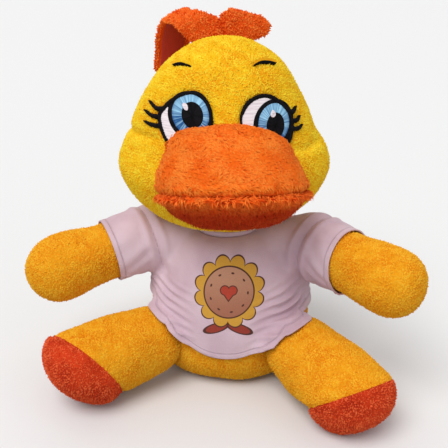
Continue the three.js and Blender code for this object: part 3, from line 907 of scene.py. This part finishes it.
RECESS = {"depth": 1.1, "width": 2.4}
HEAD_LINE = spline(HEAD["profile"], np.linspace(0, 1, 400), mirrored=True)
HEAD_LINE = HEAD_LINE[np.argsort(HEAD_LINE[:, 1])]
LEAN = 0.3
NARROWING = 0.055
CHEEKS = {"swell": 1.6, "height": -4, "reach": 13}
CREASE = {"width": 2.4, "depth": 2.1}
CREASES = {
    "right": [(-122, 15.2), (-134, 16), (-146, 16.2), (-160, 15.6), (-175, 14.6), (-192, 13.5), (-215, 12)],
    "left": [(-62, 14), (-52, 11.4), (-40, 9), (-30, 10.6), (-18, 10), (-6, 8)],
}


def skull(up):
    """How the head above its cheeks differs from an oval: a shift to its right and a narrower left half."""
    return LEAN * smooth_step(2, 40, up), 1 - NARROWING * smooth_step(4, 16, up)


def head_shape(share, angle):
    """The head's oval, shifted and narrowed above, with cheeks that swell at the sides."""
    plain = round_body(HEAD, share, angle)
    x, y, z = plain[..., 0], plain[..., 1], plain[..., 2]
    shift, narrow = skull(z)
    swell = CHEEKS["swell"] * np.exp(-(((z - CHEEKS["height"]) / CHEEKS["reach"]) ** 2))
    swell = swell * np.tanh(x / 30) * smooth_step(15, 50, np.abs(x))
    x = np.where(x > 0, x * narrow, x) + shift + swell
    return np.stack([x, y, z], -1)


def on_head(angle, up):
    """The head's surface at an angle round it, in degrees, and a height."""
    wide = np.interp(up, HEAD_LINE[:, 1], HEAD_LINE[:, 0])
    turn = math.radians(angle)
    return np.array([wide * math.cos(turn), HEAD["front"] * wide * math.sin(turn), up])


def eye_recess(points):
    """A valley along each eye's outline: depth times the bell curve of the distance across the face."""
    local = head_place.back(points)
    nearest = np.full(len(points), 99.0)
    for eye in EYES.values():
        edge = loop_spline(eye["outline"], np.linspace(0, 1, 120, endpoint=False))
        apart = np.linalg.norm(local[:, None, [0, 2]] - edge[None], axis=-1)
        nearest = np.minimum(nearest, apart.min(axis=1))
    return RECESS["depth"] * np.exp(-((nearest / RECESS["width"]) ** 2)) * (local[:, 1] < 0)


head_skin = lumpy(closed_skin(
    lambda share, angle: head_place.out(head_shape(share, angle)), 160, 220), 0.4, 34, 5)
dents = sum(groove(head_place.back(head_skin.points), [on_head(*step) for step in path], **CREASE)
            for path in CREASES.values())
head_skin = head_skin.pushed(-dents - eye_recess(head_skin.points))
stuffed("head", head_skin, "head", yellow_plush)

neck_place = Place(shift=NECK["at"]).then(torso_place)
neck_skin = closed_skin(lambda share, angle: neck_place.out(joined(
    NECK["radius"] * np.sin(np.pi * share) ** 0.5 * np.cos(angle),
    NECK["radius"] * np.sin(np.pi * share) ** 0.5 * np.sin(angle),
    -NECK["half"] * np.cos(np.pi * share))), 24, 48)
stuffed("neck", neck_skin, "neck", yellow_plush_painted_shade, ["neck_plug"])


# Face

def on_face(chart, lift):
    """Chart points (aside, up) on the front of the head: at that height it is an oval of known half width.
    Each is then lifted square to the face."""
    chart = np.asarray(chart, float)
    lift = np.broadcast_to(lift, chart.shape[:-1])

    def front(aside, up):
        wide = np.interp(up, HEAD_LINE[:, 1], HEAD_LINE[:, 0])
        shift, narrow = skull(up)
        own = np.where(aside > shift, (aside - shift) / narrow, aside - shift)
        inner = np.maximum(wide ** 2 - own ** 2, 0.01)
        return np.stack([aside, -HEAD["front"] * np.sqrt(inner), up], -1)

    aside, up = chart[..., 0], chart[..., 1]
    step = 0.2
    along = front(aside + step, up) - front(aside - step, up)
    rising = front(aside, up + step) - front(aside, up - step)
    outward = unit(np.cross(along, rising))
    return head_place.out(front(aside, up) + outward * (lift - SHORT_ROOM)[..., None])


def stitched(name, skin, finish, threads):
    """Stitches on the face, with a number for each thread."""
    made = piece(name, skin, finish, thread=threads)
    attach(made, "head")
    return made


def patch(name, outline, centre, lift, finish, threads, seed, tone=None):
    """A stitched patch: rings drawn in from the outline to the centre, over a rim sunk in the pelt."""
    share = np.array([1, 1, 0.985, 0.94, 0.85, 0.7, 0.55, 0.4, 0.25, 0.1])
    rise = np.array([-0.8, 0.5, 0.9, 1, 1, 1, 1, 1, 1, 1]) * lift
    centre = np.array(centre, float)
    columns = outline(np.linspace(0, 1, threads * 3, endpoint=False))
    grid = centre + (columns - centre)[None] * share[:, None, None]
    ridge = 0.07 * np.cos(TURN * np.arange(threads * 3) / 3)
    rings = on_face(grid, rise[:, None] + ridge[None] * (rise[:, None] > 0.5 * lift))
    skin = skin_of_rings(rings, on_face(centre, -0.8 * lift), on_face(centre, lift))
    rng = np.random.default_rng(seed)
    streak = np.tile(np.repeat(rng.uniform(0, 1, threads), 3), len(share))
    values = np.concatenate([[0.5], streak, [0.5]])
    if tone is not None:
        values = tone(head_place.back(skin.points), values)
    return stitched(name, skin, finish, values)


def stroke(name, path, half_width, lift, seed, closed=False):
    """A satin-stitched line: an oval tube along a path on the face, with a ridge for each thread."""
    count = len(path)
    after, before = np.roll(path, -1, 0), np.roll(path, 1, 0)
    if not closed:
        after[-1], before[0] = path[-1], path[0]
    along = unit(after - before)
    across = np.stack([-along[:, 1], along[:, 0]], -1)
    rng = np.random.default_rng(seed)
    angle = np.linspace(0, TURN, 10, endpoint=False)
    ragged = 1 + 0.1 * rng.normal(size=count).clip(-1.5, 1.5)
    width = np.broadcast_to(half_width, count) * ragged
    chart = path[:, None] + across[:, None] * (width[:, None] * np.cos(angle))[..., None]
    height = lift * (0.15 + 0.85 * np.sin(angle)) + 0.05 * (np.arange(count) % 2)[:, None]
    grid = on_face(chart, height)
    values = np.repeat(rng.uniform(0, 1, count), 10)
    if closed:
        stitched(name, ring_skin(grid), black_thread, values)
    else:
        skin = skin_of_rings(grid, grid[0].mean(0), grid[-1].mean(0))
        stitched(name, skin, black_thread, np.concatenate([[0.5], values, [0.5]]))


def closed_curve(points):
    return lambda share: loop_spline(points, share)


def oval(centre, size):
    """The angle's cosine and sine, each times its half size."""
    return lambda share: np.array(centre, float) + np.array(size) * np.stack(
        [np.cos(TURN * share), np.sin(TURN * share)], -1)


def iris_tone(centre, size):
    """Light at the top and darker below, at the rim and round the pupil, streak by streak."""
    def tone(points, values):
        chart = (points[:, [0, 2]] - centre) / size
        far = np.hypot(*chart.T) + 0.2 * (values - 0.5)
        low = smooth_step(0.5, -0.5, chart[:, 1])
        rim = smooth_step(0.8, 1.0, far) + 0.6 * smooth_step(0.85, 0.6, far) * low
        return np.clip(0.5 + 0.34 * chart[:, 1] - 0.3 * rim + 0.75 * (values - 0.5), 0, 1)
    return tone


for side, eye in EYES.items():
    seed = 70 + SIDE[side] * 5
    outline = closed_curve(eye["outline"])
    white = patch(f"{side}_eye_white", outline, np.mean(eye["outline"], 0), 0.9, white_thread, 90, seed)
    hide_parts(f"{side}_eye_embroidery")
    for k, (part, key, lift, finish, threads, tone) in enumerate((
        ("eye_ring", "ring", 1.1, black_thread, 70, None),
        ("iris", "iris", 1.3, iris_thread, 92, iris_tone(*eye["iris"])),
        ("pupil", "pupil", 1.5, black_thread, 36, None),
    )):
        patch(f"{side}_{part}", oval(*eye[key]), eye[key][0], lift, finish, threads, seed + 1 + k, tone)
    shine = closed_curve(eye["shine"])
    patch(f"{side}_eye_shine", shine, np.mean(eye["shine"], 0), 1.7, white_thread, 20, seed + 4)
    share = np.linspace(0, 1, 320, endpoint=False)
    thin = np.exp(-(((share - 0.5 - eye["thin"]) % 1 - 0.5) / 0.09) ** 2)
    stroke(f"{side}_eye_outline", outline(share), 1.15 - 0.6 * thin, 1.6, seed + 5, closed=True)
    for k, lash in enumerate(eye["lashes"]):
        t = np.linspace(0, 1, 26)
        stroke(f"{side}_lash_{k + 1}", spline(lash, t), 1.2 * (1 - 0.55 * t ** 3), 1.8, seed + 6 + k)
    t = np.linspace(0, 1, 40)
    stroke(f"{side}_brow", spline(eye["brow"], t), 0.2 + 0.38 * np.sin(np.pi * t), 1.9, seed + 9)


def off_embroidery(roots):
    """True where no stitches lie: outside the eyes' outlines and away from lashes and brows."""
    local = head_place.back(roots)
    chart = local[:, [0, 2]]
    clear = np.ones(len(roots), bool)
    front = local[:, 1] < 0
    for eye in EYES.values():
        edge = loop_spline(eye["outline"], np.linspace(0, 1, 160, endpoint=False))
        middle = np.mean(eye["outline"], 0)
        around = np.arctan2(*(edge - middle).T)
        order = np.argsort(around)
        reach = np.hypot(*(edge - middle).T)
        own = np.arctan2(*(chart - middle).T)
        limit = np.interp(own, around[order], reach[order], period=TURN)
        clear &= ~(front & (np.hypot(*(chart - middle).T) < limit + 1.3))
        for line in [*eye["lashes"], eye["brow"]]:
            path = spline(line, np.linspace(0, 1, 16))
            near = np.min(np.linalg.norm(chart[:, None] - path[None], axis=-1), axis=1)
            clear &= ~(front & (near < 0.9))
    return clear


pile("head_pile", head_skin, "head", yellow_plush, SHORT, 81, off_embroidery, downward)


# Bill

def bill_comb(roots, normals):
    """Combed sideways from left to right across the top, down over the mouth, and down below it."""
    local = bill_place.back(roots)
    sideways = bill_place.turn @ np.array([1.0, 0, 0])
    wander = 0.35 * ripple(roots, 45, 93)[:, None]
    lip = smooth_step(9, 2, local[:, 2:])
    return np.where(local[:, 2:] < 0, 0.15 * sideways - 0.7 * UP,
                    (1 - 0.4 * lip) * sideways - (0.15 + wander + 0.3 * lip) * UP)


for name, size, seed, finish, look in (
    ("upper", UPPER_BILL, 91, bill_plush, LONG),
    ("lower", LOWER_BILL, 95, lip_plush_painted_shade, SHAGGY),
):
    skin = closed_skin(lambda share, angle: bill_place.out(round_body(size, share, angle)), 70, 110)
    from_mouth = np.abs(bill_place.back(skin.points)[:, 2])
    room = 0.1 + (LONG_ROOM - 0.1) * smooth_step(0.5, 8, from_mouth)
    skin = lumpy(skin, 0.5, 24, seed, room)
    stuffed(f"{name}_bill", skin, "head", finish)
    pile(f"{name}_bill_pile", skin, "head", finish, look, seed + 1,
         lambda roots: head_place.back(roots)[:, 1] < -24, bill_comb)


# Crest

def lobe_surface(lobe, side, low, high, inset=0):
    """A leaf along a curve: its cross lines all run one way and its thickness lies between low and high."""
    across = unit(np.array(lobe["across"], float))
    spans = len(lobe["half_width"]) - 1
    widths = np.array(lobe["half_width"], float)

    def surface(share, angle):
        share, angle = np.broadcast_arrays(share, angle)
        step = 1e-3
        centre = spline(lobe["path"], share)
        ahead, behind = np.minimum(share + step, 1), np.maximum(share - step, 0)
        along = unit(spline(lobe["path"], ahead) - spline(lobe["path"], behind))
        outward = unit(np.cross(along, across)) * SIDE[side]
        first = np.minimum((share * spans).astype(int), spans - 1)
        local = share * spans - first
        plain = widths[first] * (1 - local) + widths[first + 1] * local
        tip = widths[first] * np.maximum(1 - local ** 2, 0) ** 0.7
        width = np.maximum(np.where(widths[first + 1] == 0, tip, plain) - inset, 0.5)
        rounded = smooth_step(-0.02, 0.01, share) * smooth_step(0, 0.1, 1 - share) ** 0.5
        rounded = np.maximum(rounded, 0.02)
        turn = SIDE[side] * angle
        return head_place.out(
            centre
            + outward * (low + high) / 2
            + across * (width * np.cos(turn) * rounded)[..., None]
            + outward * ((high - low) / 2 * np.sin(turn) * rounded)[..., None]
        )

    return surface


split = LOBE["lining"] - LOBE["behind"]
face = split + LOBE["gap"]
for side, lobe, seed in (("left", LEFT_LOBE, 101), ("right", RIGHT_LOBE, 111)):
    body = f"{side}_crest"
    skin = closed_skin(lobe_surface(lobe, side, face, face + LOBE["plush"]), 60, 40)
    stuffed(f"{side}_crest", skin, body, crest_plush, [f"{side}_crest_plush"])
    turn = TURN * ((skin.triangles[:, 0] - 1) % 40) / 40
    outer = (SIDE[side] * np.sin(turn) > -0.3) | (np.abs(np.cos(turn)) > 0.75)
    pile(f"{side}_crest_pile", skin, body, crest_plush, MIDDLE, seed + 1, faces=outer)
    back = closed_skin(lobe_surface(lobe, side, -LOBE["behind"], split, LOBE["rim"]), 60, 40)
    sheet(f"{side}_crest_back", back, body, crest_lining, f"{side}_crest_lining", f"{side}_lining",
          "stretched", f"{side}_crest_pelt")


# Shirt

def welded(skins, voxel):
    """Closed skins joined into one by a voxel remesh, as points and triangles."""
    offset = np.cumsum([0] + [len(s.points) for s in skins[:-1]])
    whole = Skin(np.vstack([s.points for s in skins]),
                 np.vstack([s.triangles + o for s, o in zip(skins, offset)]))
    made = piece("shirt_form", whole, white_knit)
    remesh = made.modifiers.new("weld", "REMESH")
    remesh.mode = "VOXEL"
    remesh.voxel_size = voxel * MM
    mesh = bpy.data.meshes.new_from_object(made.evaluated_get(bpy.context.evaluated_depsgraph_get()))
    mesh.calc_loop_triangles()
    points = np.empty(3 * len(mesh.vertices), np.float32)
    mesh.vertices.foreach_get("co", points)
    triangles = np.empty(3 * len(mesh.loop_triangles), np.int32)
    mesh.loop_triangles.foreach_get("vertices", triangles)
    bpy.data.objects.remove(made)
    return Skin(points.reshape(-1, 3).astype(float) / MM, triangles.reshape(-1, 3).astype(int))


def tapered(first, last, first_radius, last_radius):
    """A straight round bar between two points of the torso, with rounded ends."""
    first, last = np.array(first, float), np.array(last, float)
    way = unit(last - first)

    def station(t):
        radius = first_radius + (last_radius - first_radius) * t
        return first + t[..., None] * (last - first), np.broadcast_to(way, (*t.shape, 3)), radius, radius

    surface = lambda share, angle: torso_place.out(limb_surface(station, last_radius, share, angle))
    return closed_skin(surface, 30, 40)


forms = [torso_form]
for side, s in SIDE.items():
    forms.append(closed_skin(arm_surface(side), 50, 64))
    forms.append(tapered((s * 12, -1, 78.5), (s * ARM["out"], -ARM["forward"], ARM["height"]), 13, 17.5))
    thigh = np.array([s * LEG["out"], -LEG["forward"], LEG["height"]])
    forms.append(tapered((s * 36, -24, 26), thigh, LEG["root"], LEG["root"]))
    ankle = leg_station(FOOT_DROOP[side])(np.array([1.0]))[0][0]
    knee = thigh + 0.4 * leg_turn(side) @ ankle
    forms.append(tapered(thigh, knee, LEG["root"], LEG["root"] + 1.4))
shirt_form = welded([form.pushed(SHIRT["ease"]) for form in forms], SHIRT["voxel"])

near = np.zeros(len(shirt_form.points))
for places, outer in ((arms, 36), (legs, 40)):
    for place in places.values():
        distance = np.linalg.norm(shirt_form.points - place.shift, axis=1)
        near = np.maximum(near, 1 - smooth_step(14, outer, distance))
shirt_form = softened(shirt_form, 0.5 * near + 0.05, 40)


def along(place, points):
    """How far points lie along a limb from its joint."""
    return -place.back(points)[..., 1]


def off_axis(place, points):
    local = place.back(points)
    return np.hypot(local[..., 0], local[..., 2])


def below_cuff(side, points):
    """Distance along a sleeve to its cuff, which slants out under the left arm."""
    under = 0.5 - arms[side].back(points)[..., 2] / (2 * ARM["waist"])
    return CUFF + CUFF_SLANT[side] * under - along(arms[side], points)


def past_armhole(side, points):
    return along(arms[side], points) - ARMHOLE[side]


def round_arm(side, points):
    """Above 0 near an arm's axis, as far out as its sleeve reaches."""
    return SHIRT["sleeve"] - off_axis(arms[side], points)


def rounded_least(first, second):
    """The lower of two values, rounded off where they meet: -w ln(exp(-a / w) + exp(-b / w))."""
    return -np.logaddexp(-first / HEM["soft"], -second / HEM["soft"]) * HEM["soft"]


def above_hem(points):
    """Distance above the hem: its height round the torso and an arc over each thigh, but none on the
    sleeves. The cloth reaches only so far off the torso, less at the sides than in front."""
    local = torso_place.back(points)
    x, y, z = local.T
    free = 3 * np.maximum(z - HEM["ends"], 0)
    inside = z - hem_height(local)
    for side, place in legs.items():
        inside = rounded_least(inside, HEM["up_thigh"][side] - along(place, points) + free)
    deep = np.where(y < 0, TORSO["front"], TORSO["back"]) * WAIST
    outside = WAIST * (np.hypot(x / WAIST, y / deep) - 1)
    facing = smooth_step(0.4, 0.6, -y / np.hypot(x, y))
    limit = HEM["side_reach"] + (HEM["front_reach"] - HEM["side_reach"]) * facing
    inside = rounded_least(inside, limit - outside + free)
    for side, place in arms.items():
        inside = np.maximum(inside, 3 * np.minimum(round_arm(side, points), along(place, points) + 3))
    return inside


def in_sleeve(side, points):
    """Above 0 past the armhole and round the arm."""
    return np.minimum(past_armhole(side, points), round_arm(side, points))


def bell(value, middle, width):
    return np.exp(-(((value - middle) / width) ** 2))


def creased(points):
    """How far folds lift the cloth: drag lines that slant up from the waist's sides, a gather with a valley
    at each armhole, and pulls across each sleeve. The hems lie flat and raised, and the cuffs draw in."""
    x, y, z = torso_place.back(points).T
    wobble = ripple(points, 26, 121)
    wave = np.cos(TURN * (z + DRAG["slant"] * (46 - np.abs(x)) + 1.1 * wobble) / DRAG["apart"])
    drag = (wave + 0.35 * wave ** 2) * smooth_step(12, 34, np.abs(x)) * smooth_step(70, 58, z)
    drag = drag * (DRAG["at_sides"] + (1 - DRAG["at_sides"]) * smooth_step(-8, -22, y))
    total = DRAG["height"] * drag * smooth_step(24, 34, z) * (0.7 + 0.5 * ripple(points, 18, 123))
    for side, place in arms.items():
        past = past_armhole(side, points)
        wide = smooth_step(34, 26, off_axis(place, points)) * smooth_step(10, -4, y)
        gather = (GATHER["before"] * bell(past + wobble, -4.5, 2) - GATHER["valley"] * bell(past, 0, 1.3)
                  + GATHER["after"] * bell(past - 0.6 * wobble, 4, 1.9))
        pull = np.cos(TURN * (z * 0.8 + past * 0.5 + 2 * wobble) / PULL["apart"]) * smooth_step(2, 8, past)
        total = total + wide * gather + PULL["height"] * pull * smooth_step(-8, 0, below_cuff(side, points))
    band = smooth_step(0.0, 0.4, STITCHES_UP + 0.2 - above_hem(points))
    for side in SIDE:
        band = np.maximum(band, smooth_step(STITCHES_UP + 0.2, STITCHES_UP - 0.2, below_cuff(side, points)))
    snug = sum(smooth_step(9, 0, below_cuff(side, points)) for side in SIDE)
    return total * (1 - 0.6 * band) + 0.25 * band - 0.8 * snug


shirt_form = shirt_form.pushed(creased(shirt_form.points))
local = torso_place.back(shirt_form.points)
neck_distance = np.hypot(*(local - np.array(NECK["at"]))[:, :2].T)
shirt = trimmed(shirt_form, np.where(local[:, 2] > 70, neck_distance - SHIRT["neck"], 99))
shirt = trimmed(shirt, above_hem(shirt.points))
for side in SIDE:
    shirt = trimmed(shirt, below_cuff(side, shirt.points))
shirt_body = shirt
for side in SIDE:
    shirt_body = trimmed(shirt_body, -in_sleeve(side, shirt_body.points))

sheet("shirt_body_knit", shirt_body, "torso", white_knit, "shirt_body", "body", "stretched", "torso_pelt",
      SHIRT["thick"], edge=above_hem(shirt_body.points))
for side in SIDE:
    skin = trimmed(shirt, in_sleeve(side, shirt.points))
    sheet(f"{side}_sleeve_knit", skin, bent(side), white_knit, f"{side}_sleeve", f"{side}_sleeve",
          "stretched", f"{side}_arm_pelt", SHIRT["thick"], edge=below_cuff(side, skin.points))

band_at = (NECK["at"][0], NECK["at"][1] + NECKBAND["behind"], NECKBAND["height"])
around = np.linspace(0, TURN, 96, endpoint=False)[:, None]
across = np.linspace(0, TURN, 12, endpoint=False)[None]
radius = SHIRT["neck"] - NECKBAND["inset"] + NECKBAND["wide"] * np.cos(across)
hoop = joined(radius * np.cos(around), radius * np.sin(around), NECKBAND["tall"] * np.sin(across))
band = ring_skin(torso_place.out(hoop + band_at))
sheet("shirt_neckband_knit", band, "torso", white_knit, "shirt_neckband", "neckband", "folded",
      "shirt_body_knit", edge=np.full(len(band.points), UNSTITCHED))


# Camera, light and stage

def looking(made, place, target):
    """Stands an object at a place and turns its -Z to the target."""
    made.location = Vector(place) * MM
    made.rotation_mode = "QUATERNION"
    made.rotation_quaternion = (Vector(target) - Vector(place)).to_track_quat("-Z", "Y")
    bpy.context.scene.collection.objects.link(made)
    return made


lens = bpy.data.cameras.new("camera")
lens.sensor_width = 36
lens.lens = 60.27
lens.clip_start = 0.01
lens.clip_end = 20
bpy.context.scene.camera = looking(bpy.data.objects.new("camera", lens), (-3.6, -417.2, 260.6), (-3.6, 0, 92))

for name, place, width, power in (
    ("key_light", (-250, -380, 760), 40, 1.9),
    ("fill_light", (520, -480, 260), 60, 0.3),
    ("back_light", (-200, 500, 420), 50, 0.3),
):
    lamp = bpy.data.lights.new(name, "SUN")
    lamp.angle = math.radians(width)
    lamp.energy = power
    looking(bpy.data.objects.new(name, lamp), place, (0, 0, 90))

world = bpy.data.worlds.new("studio")
bpy.context.scene.world = world
world.use_nodes = True
sky = world.node_tree
background = sky.nodes["Background"]
path = sky.nodes.new("ShaderNodeLightPath")
mixed = sky.nodes.new("ShaderNodeMix")
sky.links.new(path.outputs["Is Camera Ray"], mixed.inputs[0])
mixed.inputs[2].default_value = 0.56
mixed.inputs[3].default_value = 0.92
sky.links.new(mixed.outputs[0], background.inputs["Strength"])
background.inputs["Color"].default_value = (1, 1, 1, 1)

floor_finish = Finish("pale_floor", None, Roughness=0.9)
seen = floor_finish.node("LightPath", output="Is Camera Ray")
floor_tone = floor_finish.mix((0.5, 0.5, 0.5, 1), (0.8, 0.8, 0.8, 1), seen)
floor_mesh = bpy.data.meshes.new("floor")
reach = 6.0
floor_mesh.from_pydata([(-reach, -reach, 0), (reach, -reach, 0), (reach, reach, 0), (-reach, reach, 0)], [],
                       [(0, 1, 2, 3)])
floor_mesh.materials.append(floor_finish.paint(Base_Color=floor_tone)[0])
floor = bpy.data.objects.new("floor", floor_mesh)
bpy.context.scene.collection.objects.link(floor)

bpy.context.scene.view_settings.view_transform = "Standard"
